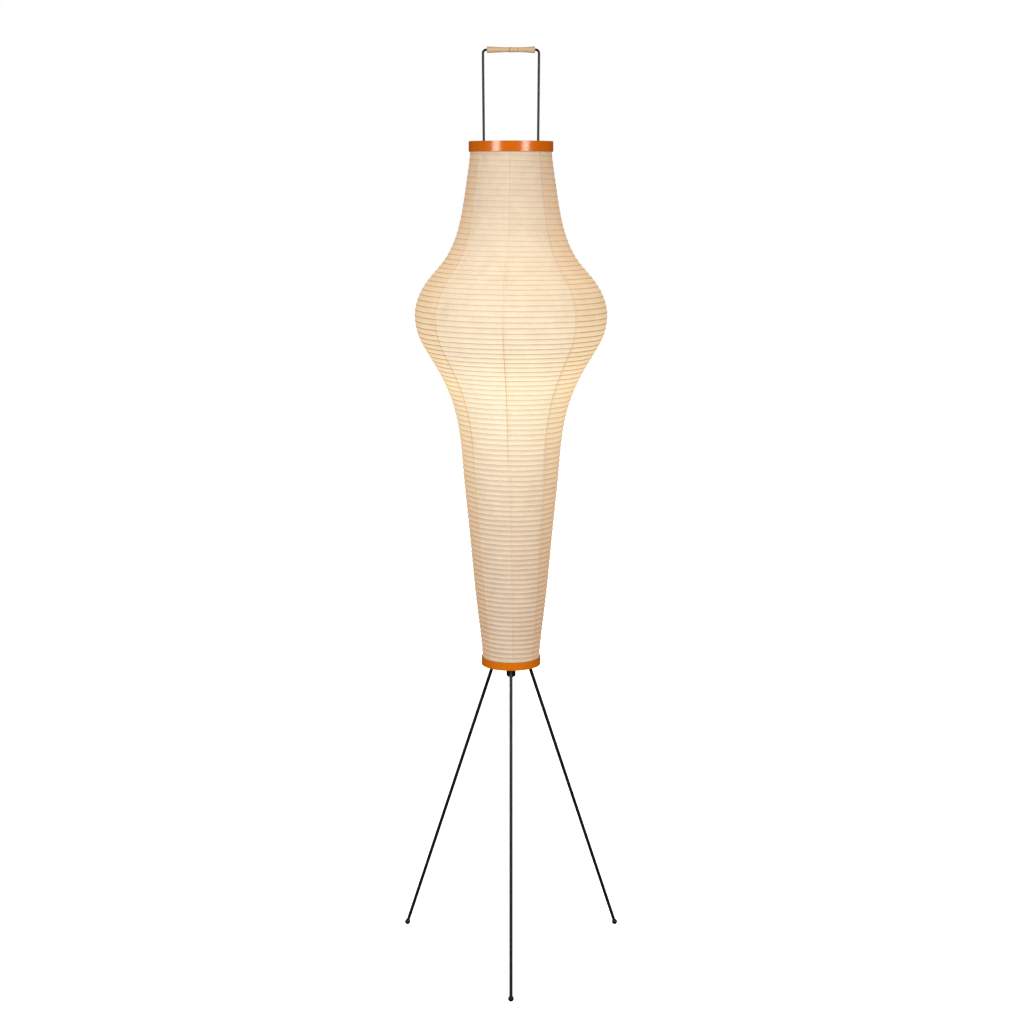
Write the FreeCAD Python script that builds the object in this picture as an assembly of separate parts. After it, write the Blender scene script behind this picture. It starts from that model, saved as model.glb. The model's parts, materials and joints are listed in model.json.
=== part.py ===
import FreeCAD, Part
import math
import os

# A tall paper lantern that stands on three thin rods. A spider plate inside the bottom ring
# carries everything: the legs' bosses, the stem with its lampholder, and the wire frame that
# runs up inside the paper, through two eyes in the top ring, to the carrying handle.
# Sizes are in millimetres, +Z is up, and the origin is the point on the floor under the
# lantern's axis. The handle runs along X, and one leg points along -Y.

# ---- Driving dimensions: the whole lamp ----
TOTAL_HEIGHT = 1570.0
FULL_TURN = 360.0

# ---- Legs and feet ----
LEG_AZIMUTHS = {"front": -90.0, "back_left": 150.0, "back_right": 30.0}
LEG_RADIUS = 3.0
LEG_SPREAD = 220.6             # from the lamp's axis to the middle of each foot
LEG_SLOPE = 0.3590             # how far a leg leans in for each unit that it climbs
LEG_TOP_HEIGHT = 562.0
FOOT_RADIUS = 5.0
FOOT_FLAT_RADIUS = 2.0

# ---- Bottom ring and spider plate ----
BOTTOM_RING_RADIUS = 51.0
BOTTOM_RING_LOW = 525.0
BOTTOM_RING_HIGH = 539.0
BOTTOM_RING_WALL = 1.5
RING_EDGE_ROUND = 0.4
PLATE_LOW = 527.0
PLATE_THICKNESS = 3.0
PLATE_HOLE_SPARE = 0.2
WINDOW_INNER_RADIUS = 15.0
WINDOW_OUTER_RADIUS = 42.0
WINDOWS = [(90.0, 42.0), (-43.0, 28.0), (-137.0, 28.0)]     # middle azimuth, half angle
BOSS_RADIUS = 5.0
BOSS_CAP = 3.0
BOSS_SPARE = 0.1

# ---- Top ring and its eyes ----
TOP_RING_RADIUS = 70.2
TOP_RING_LOW = 1400.0
TOP_RING_HIGH = 1417.0
TOP_RING_WALL = 2.0
EYE_LOW = 1411.0
EYE_THICKNESS = 2.0
EYE_HALF_WIDTH = 6.0
EYE_FLANGE_LOW = 1409.5
EYE_FLANGE_HIGH = 1416.0
EYE_SLOT_INNER = 40.0          # the slot's two end centres, measured from the lamp's axis
EYE_SLOT_OUTER = 45.2
EYE_SPARE = 0.1

# ---- Wire frame and grip ----
WIRE_RADIUS = 2.0
FRAME_HALF_WIDTH_LOW = 38.5
FRAME_HALF_WIDTH_HIGH = 46.1
FRAME_BEND_RADIUS = 5.5
SOCKET_RADIUS = 4.0
SOCKET_HEIGHT = 24.0
SOCKET_SPARE = 0.05
GRIP_SPARE = 0.1
# Distance along the grip from its middle, and its radius there: flared ends and one low node.
GRIP_OUTLINE = [
    (-39.4, 5.4),
    (-27.0, 4.7),
    (-13.0, 4.1),
    (-6.5, 3.9),
    (-0.5, 4.25),
    (6.0, 3.95),
    (18.0, 4.05),
    (30.0, 4.7),
    (39.4, 5.5),
]

# ---- Paper shade ----
# Height and outer radius along the shade's outline, from the bottom ring to the top ring.
SHADE_OUTLINE = [
    (531.5, 49.0),
    (540.0, 49.5),
    (640.0, 60.2),
    (760.0, 71.6),
    (860.0, 81.4),
    (920.0, 86.9),
    (970.0, 96.2),
    (1020.0, 115.0),
    (1060.0, 137.3),
    (1100.0, 157.8),
    (1128.0, 162.1),
    (1160.0, 155.7),
    (1190.0, 138.2),
    (1220.0, 113.1),
    (1250.0, 96.5),
    (1290.0, 84.4),
    (1345.0, 75.1),
    (1400.0, 67.9),
    (1409.0, 67.3),
]
PAPER_WALL = 0.6
GORE_COUNT = 8
FIRST_SEAM_AZIMUTH = -94.5
RIB_COUNT = 101
FIRST_RIB_UP = 15.9            # along the outline, from the paper's lower edge
RIB_PITCH_LOW = 8.27           # along the outline, near the bottom ring
RIB_PITCH_HIGH = 9.47          # along the outline, near the top ring
RIDGE_RISE = 0.2
VALLEY_DEPTH = 0.3
RIB_HEIGHT = 1.2
RIB_DEPTH = 1.0
RIB_BEDDING = 0.15             # how deep a rib is glued into the paper

# ---- Stem, nuts and cord gland ----
STEM_RADIUS = 5.0
STEM_BORE_RADIUS = 4.0
STEM_LOW = 507.0
STEM_HIGH = 917.0
NUT_SIDES = 6
NUT_ACROSS_FLATS = 14.0
NUT_THICKNESS = 5.0
GLAND_LOW = 502.0
GLAND_RADIUS = 8.0
GLAND_TAPER = 2.0
GLAND_NOSE_RADIUS = 6.5
GLAND_BORE_RADIUS = 3.5

# ---- Lampholder, for a bulb with a 27 mm screw cap ----
HOLDER_LOW = 905.0
HOLDER_NECK_RADIUS = 8.0
HOLDER_NECK_HEIGHT = 4.0
HOLDER_SHOULDER_HEIGHT = 922.0
HOLDER_RADIUS = 20.0
HOLDER_HIGH = 966.0
HOLDER_WALL = 2.0
HOLDER_SHELF = 6.0             # how far the sleeve's inner shelf reaches in from its outside
INSULATOR_LOW = 926.0
INSULATOR_HIGH = 936.0
SHELL_LOW = 936.0
SHELL_HIGH = 964.0
SHELL_RADIUS = 14.0
SHELL_BORE_RADIUS = 13.5
CONTACT_WIDTH = 8.0
CONTACT_THICKNESS = 0.8
CONTACT_RISE = 2.0

# ---- Bulb ----
BULB_TIP_LOW = 939.0
BULB_TIP_RADIUS = 4.0
BULB_INSULATOR_LOW = 941.0
BULB_INSULATOR_RADIUS = 6.5
BULB_CAP_LOW = 945.0
BULB_CAP_RADIUS = 13.15
BULB_CAP_HIGH = 968.0
BULB_HOUSING_HIGH = 1008.0
BULB_GLOBE_RADIUS = 30.0
BULB_GLOBE_CENTRE = 1024.0
BULB_WALL = 1.5
BULB_CAP_WALL = 0.6
BOARD_THICKNESS = 1.6
BOARD_SPARE = 0.3
DRIVER_WIDTH = 16.0
DRIVER_LOW = 950.0
DRIVER_HIGH = 1000.0

# ---- Worked out from the above ----
PLATE_HIGH = PLATE_LOW + PLATE_THICKNESS
GRIP_HEIGHT = TOTAL_HEIGHT - max(radius for _, radius in GRIP_OUTLINE)
FOOT_CENTRE_HEIGHT = math.sqrt(FOOT_RADIUS ** 2 - FOOT_FLAT_RADIUS ** 2)
GORE_ANGLE = FULL_TURN / GORE_COUNT
ORIGIN = FreeCAD.Vector(0, 0, 0)
UP = FreeCAD.Vector(0, 0, 1)
ALONG_X = FreeCAD.Vector(1, 0, 0)


def disc(radius, low, high):
    """A round bar on the lamp's axis between two heights."""
    return Part.makeCylinder(radius, high - low, FreeCAD.Vector(0, 0, low))


def tube(outer_radius, inner_radius, low, high):
    """A round tube on the lamp's axis between two heights."""
    return disc(outer_radius, low, high).cut(disc(inner_radius, low, high))


def turned(outline):
    """A solid turned about the lamp's axis from its (radius, height) outline."""
    corners = [FreeCAD.Vector(radius, 0, height) for radius, height in outline]
    face = Part.Face(Part.makePolygon(corners + corners[:1]))
    return face.revolve(ORIGIN, UP, FULL_TURN)


def polar(radius, azimuth, height):
    """The point at this distance from the axis, this way round it and this high."""
    angle = math.radians(azimuth)
    return FreeCAD.Vector(radius * math.cos(angle), radius * math.sin(angle), height)


def rod(start, end, radius):
    """A round rod from one point to another."""
    along = end.sub(start)
    return Part.makeCylinder(radius, along.Length, start, along)


def below(height, reach):
    """A block that takes away everything under this height."""
    corner = FreeCAD.Vector(-reach, -reach, height - reach)
    return Part.makeBox(2 * reach, 2 * reach, reach, corner)


def round_edges(shape, radius, edge_radius):
    """The shape with its circular edges of this radius rounded over."""
    rims = []
    for edge in shape.Edges:
        if isinstance(edge.Curve, Part.Circle) and abs(edge.Curve.Radius - radius) < edge_radius / 2:
            rims.append(edge)
    return shape.makeFillet(edge_radius, rims)


# ---- Legs and feet ----

def leg_point(azimuth, height):
    """The middle of a leg at this height."""
    radius = LEG_SPREAD - LEG_SLOPE * (height - FOOT_CENTRE_HEIGHT)
    return polar(radius, azimuth, height)


def leg(azimuth):
    """A straight rod from the middle of its foot up into its boss."""
    return rod(leg_point(azimuth, FOOT_CENTRE_HEIGHT), leg_point(azimuth, LEG_TOP_HEIGHT), LEG_RADIUS)


def foot(azimuth):
    """A ball on the leg's end, with a small flat where it meets the floor."""
    ball = Part.makeSphere(FOOT_RADIUS, leg_point(azimuth, FOOT_CENTRE_HEIGHT))
    return ball.cut(leg(azimuth)).cut(below(0, LEG_SPREAD * 2))


def leg_boss(azimuth):
    """A leaning blind tube on the spider plate, which the leg's upper end screws into."""
    start = leg_point(azimuth, PLATE_LOW)
    top = leg_point(azimuth, LEG_TOP_HEIGHT)
    cap = top.sub(start).normalize().multiply(BOSS_CAP)
    body = rod(start, top.add(cap), BOSS_RADIUS)
    bore = rod(start, top, LEG_RADIUS + BOSS_SPARE)
    return body.cut(bore).cut(below(PLATE_HIGH, LEG_SPREAD))


# ---- Rings and spider plate ----

def bottom_ring():
    """The painted band that the paper's lower edge is glued into."""
    band = tube(BOTTOM_RING_RADIUS, BOTTOM_RING_RADIUS - BOTTOM_RING_WALL, BOTTOM_RING_LOW, BOTTOM_RING_HIGH)
    return round_edges(band, BOTTOM_RING_RADIUS, RING_EDGE_ROUND)


def top_ring():
    """The painted band that the paper's upper edge is tucked into."""
    band = tube(TOP_RING_RADIUS, TOP_RING_RADIUS - TOP_RING_WALL, TOP_RING_LOW, TOP_RING_HIGH)
    return round_edges(band, TOP_RING_RADIUS, RING_EDGE_ROUND)


def ring_eye(side):
    """A strip inside the top ring, with a long eye that slides on the wire frame."""
    inner_radius = TOP_RING_RADIUS - TOP_RING_WALL
    width = 2 * EYE_HALF_WIDTH
    strip_corner = FreeCAD.Vector(EYE_SLOT_INNER, -EYE_HALF_WIDTH, EYE_LOW)
    strip = Part.makeBox(inner_radius - EYE_SLOT_INNER, width, EYE_THICKNESS, strip_corner)
    nose = Part.makeCylinder(EYE_HALF_WIDTH, EYE_THICKNESS, FreeCAD.Vector(EYE_SLOT_INNER, 0, EYE_LOW))
    flange_corner = FreeCAD.Vector(inner_radius - EYE_THICKNESS, -EYE_HALF_WIDTH, EYE_FLANGE_LOW)
    flange = Part.makeBox(EYE_THICKNESS, width, EYE_FLANGE_HIGH - EYE_FLANGE_LOW, flange_corner)
    blank = strip.fuse(nose).fuse(flange)
    blank = blank.common(disc(inner_radius, EYE_FLANGE_LOW, EYE_FLANGE_HIGH))
    slot_radius = WIRE_RADIUS + EYE_SPARE
    slot_corner = FreeCAD.Vector(EYE_SLOT_INNER, -slot_radius, EYE_LOW)
    slot = Part.makeBox(EYE_SLOT_OUTER - EYE_SLOT_INNER, 2 * slot_radius, EYE_THICKNESS, slot_corner)
    for end in (EYE_SLOT_INNER, EYE_SLOT_OUTER):
        slot = slot.fuse(Part.makeCylinder(slot_radius, EYE_THICKNESS, FreeCAD.Vector(end, 0, EYE_LOW)))
    eye = blank.cut(slot).removeSplitter()
    if side == "left":
        eye = eye.mirror(ORIGIN, ALONG_X)
    return eye


def window(azimuth, half_angle):
    """One curved opening in the spider plate."""
    outline = [
        FreeCAD.Vector(WINDOW_INNER_RADIUS, 0, PLATE_LOW),
        FreeCAD.Vector(WINDOW_OUTER_RADIUS, 0, PLATE_LOW),
        FreeCAD.Vector(WINDOW_OUTER_RADIUS, 0, PLATE_HIGH),
        FreeCAD.Vector(WINDOW_INNER_RADIUS, 0, PLATE_HIGH),
    ]
    section = Part.Face(Part.makePolygon(outline + outline[:1]))
    opening = section.revolve(ORIGIN, UP, 2 * half_angle)
    opening.rotate(ORIGIN, UP, azimuth - half_angle)
    return opening


def spider_plate():
    """The steel plate inside the bottom ring that carries the legs, the stem and the frame."""
    plate = disc(BOTTOM_RING_RADIUS - BOTTOM_RING_WALL, PLATE_LOW, PLATE_HIGH)
    plate = plate.cut(disc(STEM_RADIUS + PLATE_HOLE_SPARE, PLATE_LOW, PLATE_HIGH))
    for azimuth, half_angle in WINDOWS:
        plate = plate.cut(window(azimuth, half_angle))
    for azimuth in LEG_AZIMUTHS.values():
        start = leg_point(azimuth, PLATE_LOW - PLATE_THICKNESS)
        end = leg_point(azimuth, PLATE_HIGH + PLATE_THICKNESS)
        plate = plate.cut(rod(start, end, LEG_RADIUS + PLATE_HOLE_SPARE))
    return plate


# ---- Wire frame and grip ----

def bent_wire(points, bend_radius, wire_radius):
    """A round wire through the points, with its inner corners bent to one radius."""
    edges = []
    start = points[0]
    for index in range(1, len(points) - 1):
        corner = points[index]
        back = points[index - 1].sub(corner).normalize()
        ahead = points[index + 1].sub(corner).normalize()
        half_angle = back.getAngle(ahead) / 2
        setback = bend_radius / math.tan(half_angle)
        middle = back.add(ahead).normalize()
        reach = bend_radius / math.sin(half_angle) - bend_radius
        enter = corner.add(FreeCAD.Vector(back).multiply(setback))
        leave = corner.add(FreeCAD.Vector(ahead).multiply(setback))
        edges.append(Part.LineSegment(start, enter).toShape())
        edges.append(Part.Arc(enter, corner.add(middle.multiply(reach)), leave).toShape())
        start = leave
    edges.append(Part.LineSegment(start, points[-1]).toShape())
    section = Part.Wire(Part.makeCircle(wire_radius, points[0], points[1].sub(points[0])))
    return Part.Wire(edges).makePipeShell([section], True, False)


def frame_foot(side):
    """Where one side of the wire frame stands on the spider plate."""
    return FreeCAD.Vector(side * FRAME_HALF_WIDTH_LOW, 0, PLATE_HIGH)


def frame_shoulder(side):
    """The corner between one side of the wire frame and its top bar."""
    return FreeCAD.Vector(side * FRAME_HALF_WIDTH_HIGH, 0, GRIP_HEIGHT)


def handle_frame():
    """The long wire hoop that keeps the shade stretched and ends in the carrying handle."""
    points = [frame_foot(-1), frame_shoulder(-1), frame_shoulder(1), frame_foot(1)]
    hoop = bent_wire(points, FRAME_BEND_RADIUS, WIRE_RADIUS)
    return hoop.cut(below(PLATE_HIGH, BOTTOM_RING_RADIUS))


def frame_socket(side):
    """A short tube on the spider plate, round one end of the wire frame."""
    start = frame_foot(side)
    along = frame_shoulder(side).sub(start).normalize()
    low = start.sub(FreeCAD.Vector(along).multiply(PLATE_THICKNESS))
    high = start.add(FreeCAD.Vector(along).multiply(SOCKET_HEIGHT))
    sleeve = rod(low, high, SOCKET_RADIUS).cut(rod(low, high, WIRE_RADIUS + SOCKET_SPARE))
    return sleeve.cut(below(PLATE_HIGH, BOTTOM_RING_RADIUS))


def grip():
    """A bamboo grip that turns on the top bar, with flared ends and one swollen node."""
    flare = Part.BSplineCurve()
    flare.interpolate([FreeCAD.Vector(along, radius, 0) for along, radius in GRIP_OUTLINE])
    left, left_radius = GRIP_OUTLINE[0]
    right, right_radius = GRIP_OUTLINE[-1]
    bore = WIRE_RADIUS + GRIP_SPARE
    inner = [
        FreeCAD.Vector(right, right_radius, 0),
        FreeCAD.Vector(right, bore, 0),
        FreeCAD.Vector(left, bore, 0),
        FreeCAD.Vector(left, left_radius, 0),
    ]
    outline = Part.Wire([flare.toShape()] + Part.makePolygon(inner).Edges)
    body = Part.Face(outline).revolve(ORIGIN, ALONG_X, FULL_TURN)
    body.translate(FreeCAD.Vector(0, 0, GRIP_HEIGHT))
    return body


# ---- Paper shade ----

def shade_edge():
    """The shade's outline as one smooth curve, from the bottom ring to the top ring."""
    curve = Part.BSplineCurve()
    curve.interpolate([FreeCAD.Vector(radius, 0, height) for height, radius in SHADE_OUTLINE])
    return curve.toShape()


def rib_places():
    """How far up the outline each rib lies: they stand closer towards the bottom."""
    places = [FIRST_RIB_UP]
    for index in range(RIB_COUNT - 1):
        share = index / (RIB_COUNT - 2)
        places.append(places[-1] + RIB_PITCH_LOW + share * (RIB_PITCH_HIGH - RIB_PITCH_LOW))
    return places


def outline_point(edge, place, rise):
    """The point this far up the outline, moved outwards from the paper by this much."""
    parameter = edge.getParameterByLength(place)
    along = edge.tangentAt(parameter)
    outward = FreeCAD.Vector(along.z, 0, -along.x)
    return edge.valueAt(parameter).add(outward.multiply(rise))


def paper_gore(edge, number):
    """One of the long paper strips: it stands proud on each rib and is drawn in between."""
    ribs = rib_places()
    stations = [(0.0, 0.0)]
    for index, place in enumerate(ribs):
        stations.append((place, RIDGE_RISE))
        if index + 1 < len(ribs):
            stations.append(((place + ribs[index + 1]) / 2, -VALLEY_DEPTH))
    stations.append((edge.Length, 0.0))
    outside = [outline_point(edge, place, rise) for place, rise in stations]
    inside = [outline_point(edge, place, rise - PAPER_WALL) for place, rise in stations]
    corners = outside + inside[::-1]
    section = Part.Face(Part.makePolygon(corners + corners[:1]))
    gore = section.revolve(ORIGIN, UP, GORE_ANGLE)
    gore.rotate(ORIGIN, UP, FIRST_SEAM_AZIMUTH + number * GORE_ANGLE)
    return gore


def rib_hoops(edge):
    """The split bamboo ribs inside the paper, each glued along its ridge."""
    rise = RIDGE_RISE - PAPER_WALL + RIB_BEDDING
    hoops = []
    for place in rib_places():
        face = outline_point(edge, place, rise)
        low = face.z - RIB_HEIGHT / 2
        hoops.append(tube(face.x, face.x - RIB_DEPTH, low, low + RIB_HEIGHT))
    return Part.makeCompound(hoops)


# ---- Stem, nuts and cord gland ----

def stem_tube():
    """The threaded tube from the cord gland up to the lampholder."""
    return tube(STEM_RADIUS, STEM_BORE_RADIUS, STEM_LOW, STEM_HIGH)


def stem_nut(low):
    """A hexagon nut on the stem."""
    corner_radius = NUT_ACROSS_FLATS / math.sqrt(3)
    corners = [polar(corner_radius, FULL_TURN * side / NUT_SIDES, low) for side in range(NUT_SIDES)]
    blank = Part.Face(Part.makePolygon(corners + corners[:1])).extrude(FreeCAD.Vector(0, 0, NUT_THICKNESS))
    return blank.cut(disc(STEM_RADIUS, low, low + NUT_THICKNESS))


def cord_gland():
    """The black collar under the plate, with the bore that a cord would leave by."""
    high = PLATE_LOW - NUT_THICKNESS
    return turned([
        (GLAND_BORE_RADIUS, GLAND_LOW),
        (GLAND_NOSE_RADIUS, GLAND_LOW),
        (GLAND_RADIUS, GLAND_LOW + GLAND_TAPER),
        (GLAND_RADIUS, high),
        (STEM_RADIUS, high),
        (STEM_RADIUS, STEM_LOW),
        (GLAND_BORE_RADIUS, STEM_LOW),
    ])


# ---- Lampholder ----

def holder_cap():
    """The lampholder's lower cup, which screws onto the stem."""
    return turned([
        (STEM_RADIUS, HOLDER_LOW),
        (HOLDER_NECK_RADIUS, HOLDER_LOW),
        (HOLDER_RADIUS, HOLDER_SHOULDER_HEIGHT),
        (HOLDER_RADIUS - HOLDER_WALL, HOLDER_SHOULDER_HEIGHT),
        (HOLDER_NECK_RADIUS, HOLDER_LOW + HOLDER_NECK_HEIGHT),
        (STEM_RADIUS, HOLDER_LOW + HOLDER_NECK_HEIGHT),
    ])


def holder_sleeve():
    """The lampholder's outer sleeve, with the shelf that its insulator stands on."""
    return turned([
        (HOLDER_RADIUS - HOLDER_SHELF, HOLDER_SHOULDER_HEIGHT),
        (HOLDER_RADIUS, HOLDER_SHOULDER_HEIGHT),
        (HOLDER_RADIUS, HOLDER_HIGH),
        (HOLDER_RADIUS - HOLDER_WALL, HOLDER_HIGH),
        (HOLDER_RADIUS - HOLDER_WALL, INSULATOR_LOW),
        (HOLDER_RADIUS - HOLDER_SHELF, INSULATOR_LOW),
    ])


def holder_insulator():
    """The porcelain block that carries the screw shell and the centre contact."""
    return disc(HOLDER_RADIUS - HOLDER_WALL, INSULATOR_LOW, INSULATOR_HIGH)


def screw_shell():
    """The brass shell that the bulb's cap screws into."""
    return tube(SHELL_RADIUS, SHELL_BORE_RADIUS, SHELL_LOW, SHELL_HIGH)


def centre_contact():
    """The sprung brass strip under the bulb's tip."""
    corner = FreeCAD.Vector(-CONTACT_WIDTH / 2, -CONTACT_WIDTH / 4, INSULATOR_HIGH)
    post = Part.makeBox(CONTACT_THICKNESS, CONTACT_WIDTH / 2, CONTACT_RISE, corner)
    lid_corner = corner.add(FreeCAD.Vector(0, 0, CONTACT_RISE))
    lid = Part.makeBox(CONTACT_WIDTH, CONTACT_WIDTH / 2, CONTACT_THICKNESS, lid_corner)
    return post.fuse(lid)


# ---- Bulb ----

def bulb_tip():
    """The solder tip under the bulb."""
    return turned([
        (0, BULB_TIP_LOW),
        (BULB_TIP_RADIUS / 2, BULB_TIP_LOW),
        (BULB_TIP_RADIUS, BULB_INSULATOR_LOW),
        (0, BULB_INSULATOR_LOW),
    ])


def bulb_insulator():
    """The black ring between the bulb's tip and its screw cap."""
    return turned([
        (0, BULB_INSULATOR_LOW),
        (BULB_INSULATOR_RADIUS, BULB_INSULATOR_LOW),
        (BULB_CAP_RADIUS - BULB_CAP_WALL, BULB_CAP_LOW),
        (0, BULB_CAP_LOW),
    ])


def bulb_cap():
    """The bulb's screw cap."""
    return tube(BULB_CAP_RADIUS, BULB_CAP_RADIUS - BULB_CAP_WALL, BULB_CAP_LOW, BULB_CAP_HIGH)


def globe_radius(height, inset):
    """How wide the bulb's globe is at this height, this far inside its surface."""
    return math.sqrt((BULB_GLOBE_RADIUS - inset) ** 2 - (height - BULB_GLOBE_CENTRE) ** 2)


def bulb_housing():
    """The white heat sink between the screw cap and the globe."""
    rim = globe_radius(BULB_HOUSING_HIGH, 0)
    return turned([
        (BULB_CAP_RADIUS - BULB_WALL, BULB_CAP_HIGH),
        (BULB_CAP_RADIUS + BULB_WALL, BULB_CAP_HIGH),
        (rim, BULB_HOUSING_HIGH),
        (rim - BULB_WALL, BULB_HOUSING_HIGH),
    ])


def bulb_globe():
    """The opal globe, open at its base."""
    centre = FreeCAD.Vector(0, 0, BULB_GLOBE_CENTRE)
    shell = Part.makeSphere(BULB_GLOBE_RADIUS, centre)
    shell = shell.cut(Part.makeSphere(BULB_GLOBE_RADIUS - BULB_WALL, centre))
    return shell.cut(below(BULB_HOUSING_HIGH, BULB_GLOBE_RADIUS * 2))


def led_board():
    """The round board that carries the light chips, inside the globe's base."""
    radius = globe_radius(BULB_HOUSING_HIGH, BULB_WALL) - BOARD_SPARE
    return disc(radius, BULB_HOUSING_HIGH, BULB_HOUSING_HIGH + BOARD_THICKNESS)


def driver_board():
    """The upright circuit board inside the bulb's housing."""
    corner = FreeCAD.Vector(-DRIVER_WIDTH / 2, -BOARD_THICKNESS / 2, DRIVER_LOW)
    return Part.makeBox(DRIVER_WIDTH, BOARD_THICKNESS, DRIVER_HIGH - DRIVER_LOW, corner)


def build():
    """Every piece of the lamp by its name."""
    edge = shade_edge()
    pieces = {
        "bottom_ring": bottom_ring(),
        "spider_plate": spider_plate(),
        "top_ring": top_ring(),
        "handle_frame": handle_frame(),
        "handle_grip": grip(),
        "rib_hoops": rib_hoops(edge),
        "stem_tube": stem_tube(),
        "stem_nut_lower": stem_nut(PLATE_LOW - NUT_THICKNESS),
        "stem_nut_upper": stem_nut(PLATE_HIGH),
        "cord_gland": cord_gland(),
        "holder_cap": holder_cap(),
        "holder_sleeve": holder_sleeve(),
        "holder_insulator": holder_insulator(),
        "screw_shell": screw_shell(),
        "centre_contact": centre_contact(),
        "bulb_tip": bulb_tip(),
        "bulb_insulator": bulb_insulator(),
        "bulb_cap": bulb_cap(),
        "bulb_housing": bulb_housing(),
        "bulb_globe": bulb_globe(),
        "led_board": led_board(),
        "driver_board": driver_board(),
    }
    for name, azimuth in LEG_AZIMUTHS.items():
        pieces["leg_" + name] = leg(azimuth)
        pieces["foot_" + name] = foot(azimuth)
        pieces["leg_boss_" + name] = leg_boss(azimuth)
    for name, side in (("left", -1), ("right", 1)):
        pieces["ring_eye_" + name] = ring_eye(name)
        pieces["frame_socket_" + name] = frame_socket(side)
    for number in range(GORE_COUNT):
        pieces["paper_gore_" + str(number + 1)] = paper_gore(edge, number)
    return pieces


os.makedirs("parts", exist_ok=True)
for node, shape in build().items():
    shape.exportStep("parts/" + node + ".step")
    print(node, "valid" if shape.isValid() else "NOT VALID", round(shape.Volume), "mm3")
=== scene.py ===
# %% [markdown]
# # A paper lantern floor lamp, dressed for its portrait
# The metal, the bamboo and the bulb come ready made from the packed model, each in its real place.
# What is left for this script is the looks: the washi shade with its spiral rib, the turned grip,
# the finish of every surface, and a small photo studio round the lamp.
# Everything is in metres, +Z is up, and the origin is on the floor under the lantern's axis.

# %% Load the frame
import bmesh
import bpy
import json
import math
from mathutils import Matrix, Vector, noise


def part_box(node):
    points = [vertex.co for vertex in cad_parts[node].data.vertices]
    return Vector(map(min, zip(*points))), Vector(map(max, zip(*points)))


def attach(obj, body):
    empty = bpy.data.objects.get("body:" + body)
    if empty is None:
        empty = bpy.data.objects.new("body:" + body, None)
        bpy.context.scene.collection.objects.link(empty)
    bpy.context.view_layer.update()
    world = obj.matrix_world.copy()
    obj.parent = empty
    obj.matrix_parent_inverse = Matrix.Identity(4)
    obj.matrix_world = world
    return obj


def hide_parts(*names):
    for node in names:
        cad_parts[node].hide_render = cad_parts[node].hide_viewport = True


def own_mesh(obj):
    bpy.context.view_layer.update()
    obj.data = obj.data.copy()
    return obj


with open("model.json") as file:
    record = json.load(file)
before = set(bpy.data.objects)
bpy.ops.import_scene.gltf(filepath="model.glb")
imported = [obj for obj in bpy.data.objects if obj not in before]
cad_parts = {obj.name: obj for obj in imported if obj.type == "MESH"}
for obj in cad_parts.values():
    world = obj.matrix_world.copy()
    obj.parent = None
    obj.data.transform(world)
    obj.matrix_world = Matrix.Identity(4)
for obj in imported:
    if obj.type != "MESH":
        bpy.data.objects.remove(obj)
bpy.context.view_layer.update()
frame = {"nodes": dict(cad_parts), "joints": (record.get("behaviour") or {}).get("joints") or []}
MM = 0.001

# %% [markdown]
# ## Photographing the lamp
# The photograph was taken from a little under the top ring, some three metres away, with the camera
# tipped ten degrees down so that the feet are in view. A longish lens keeps the thin legs straight.
# The camera is made first, because every later look at the picture depends on it.

# %% Camera
CAMERA_PLACE = (0.0017, -3.183, 1.3647)
CAMERA_TILT_DOWN = 10.187
CAMERA_LENS = 66.27
CAMERA_SENSOR = 36.0

camera = bpy.data.objects.new("camera", bpy.data.cameras.new("camera"))
camera.location = CAMERA_PLACE
camera.rotation_euler = (math.radians(90 - CAMERA_TILT_DOWN), 0, 0)
camera.data.lens = CAMERA_LENS
camera.data.sensor_width = CAMERA_SENSOR
camera.data.clip_start = 0.05
bpy.context.scene.collection.objects.link(camera)
bpy.context.scene.camera = camera
print("camera", CAMERA_PLACE, "lens", CAMERA_LENS)

# %% [markdown]
# ## Writing finishes as sums
# A finish is a tree of shader nodes. Wiring each Math node by hand hides the idea, so one small class
# wraps an output socket and lets Python's own signs add the nodes: `1 - mask * 0.3` is two nodes.

# %% Shader maths
class Wire:
    """An output socket that can be added, multiplied and compared in plain Python."""

    def __init__(self, finish, socket):
        self.finish = finish
        self.socket = socket

    def maths(self, operation, first, second=None, third=None):
        values = {0: first}
        if second is not None:
            values[1] = second
        if third is not None:
            values[2] = third
        return self.finish.node("ShaderNodeMath", {"operation": operation}, values).out()

    def __add__(self, other):
        return self.maths("ADD", self, other)

    def __radd__(self, other):
        return self.maths("ADD", other, self)

    def __sub__(self, other):
        return self.maths("SUBTRACT", self, other)

    def __rsub__(self, other):
        return self.maths("SUBTRACT", other, self)

    def __mul__(self, other):
        return self.maths("MULTIPLY", self, other)

    def __rmul__(self, other):
        return self.maths("MULTIPLY", other, self)

    def __truediv__(self, other):
        return self.maths("DIVIDE", self, other)

    def __rtruediv__(self, other):
        return self.maths("DIVIDE", other, self)

    def __pow__(self, other):
        return self.maths("POWER", self, other)

    def size(self):
        return self.maths("ABSOLUTE", self)

    def at_least(self, low):
        return self.maths("MAXIMUM", self, low)

    def at_most(self, high):
        return self.maths("MINIMUM", self, high)

    def step(self, low, high):
        """0 below low, 1 above high, and a soft slope between; low may be the larger one."""
        settings = {"interpolation_type": "SMOOTHSTEP"}
        return self.finish.node("ShaderNodeMapRange", settings, {0: self, 1: low, 2: high}).out()


print("a wire has", sum(callable(part) for part in vars(Wire).values()), "methods")

# %% [markdown]
# ## One class for every material
# The sky and each material are a tree of nodes, so both start from the same class. A single method makes
# any node at all: its settings are plain properties, and its values go on the sockets, as numbers or as
# wires. A finish is then a Principled shader whose sockets are fed with patterns.

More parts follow.
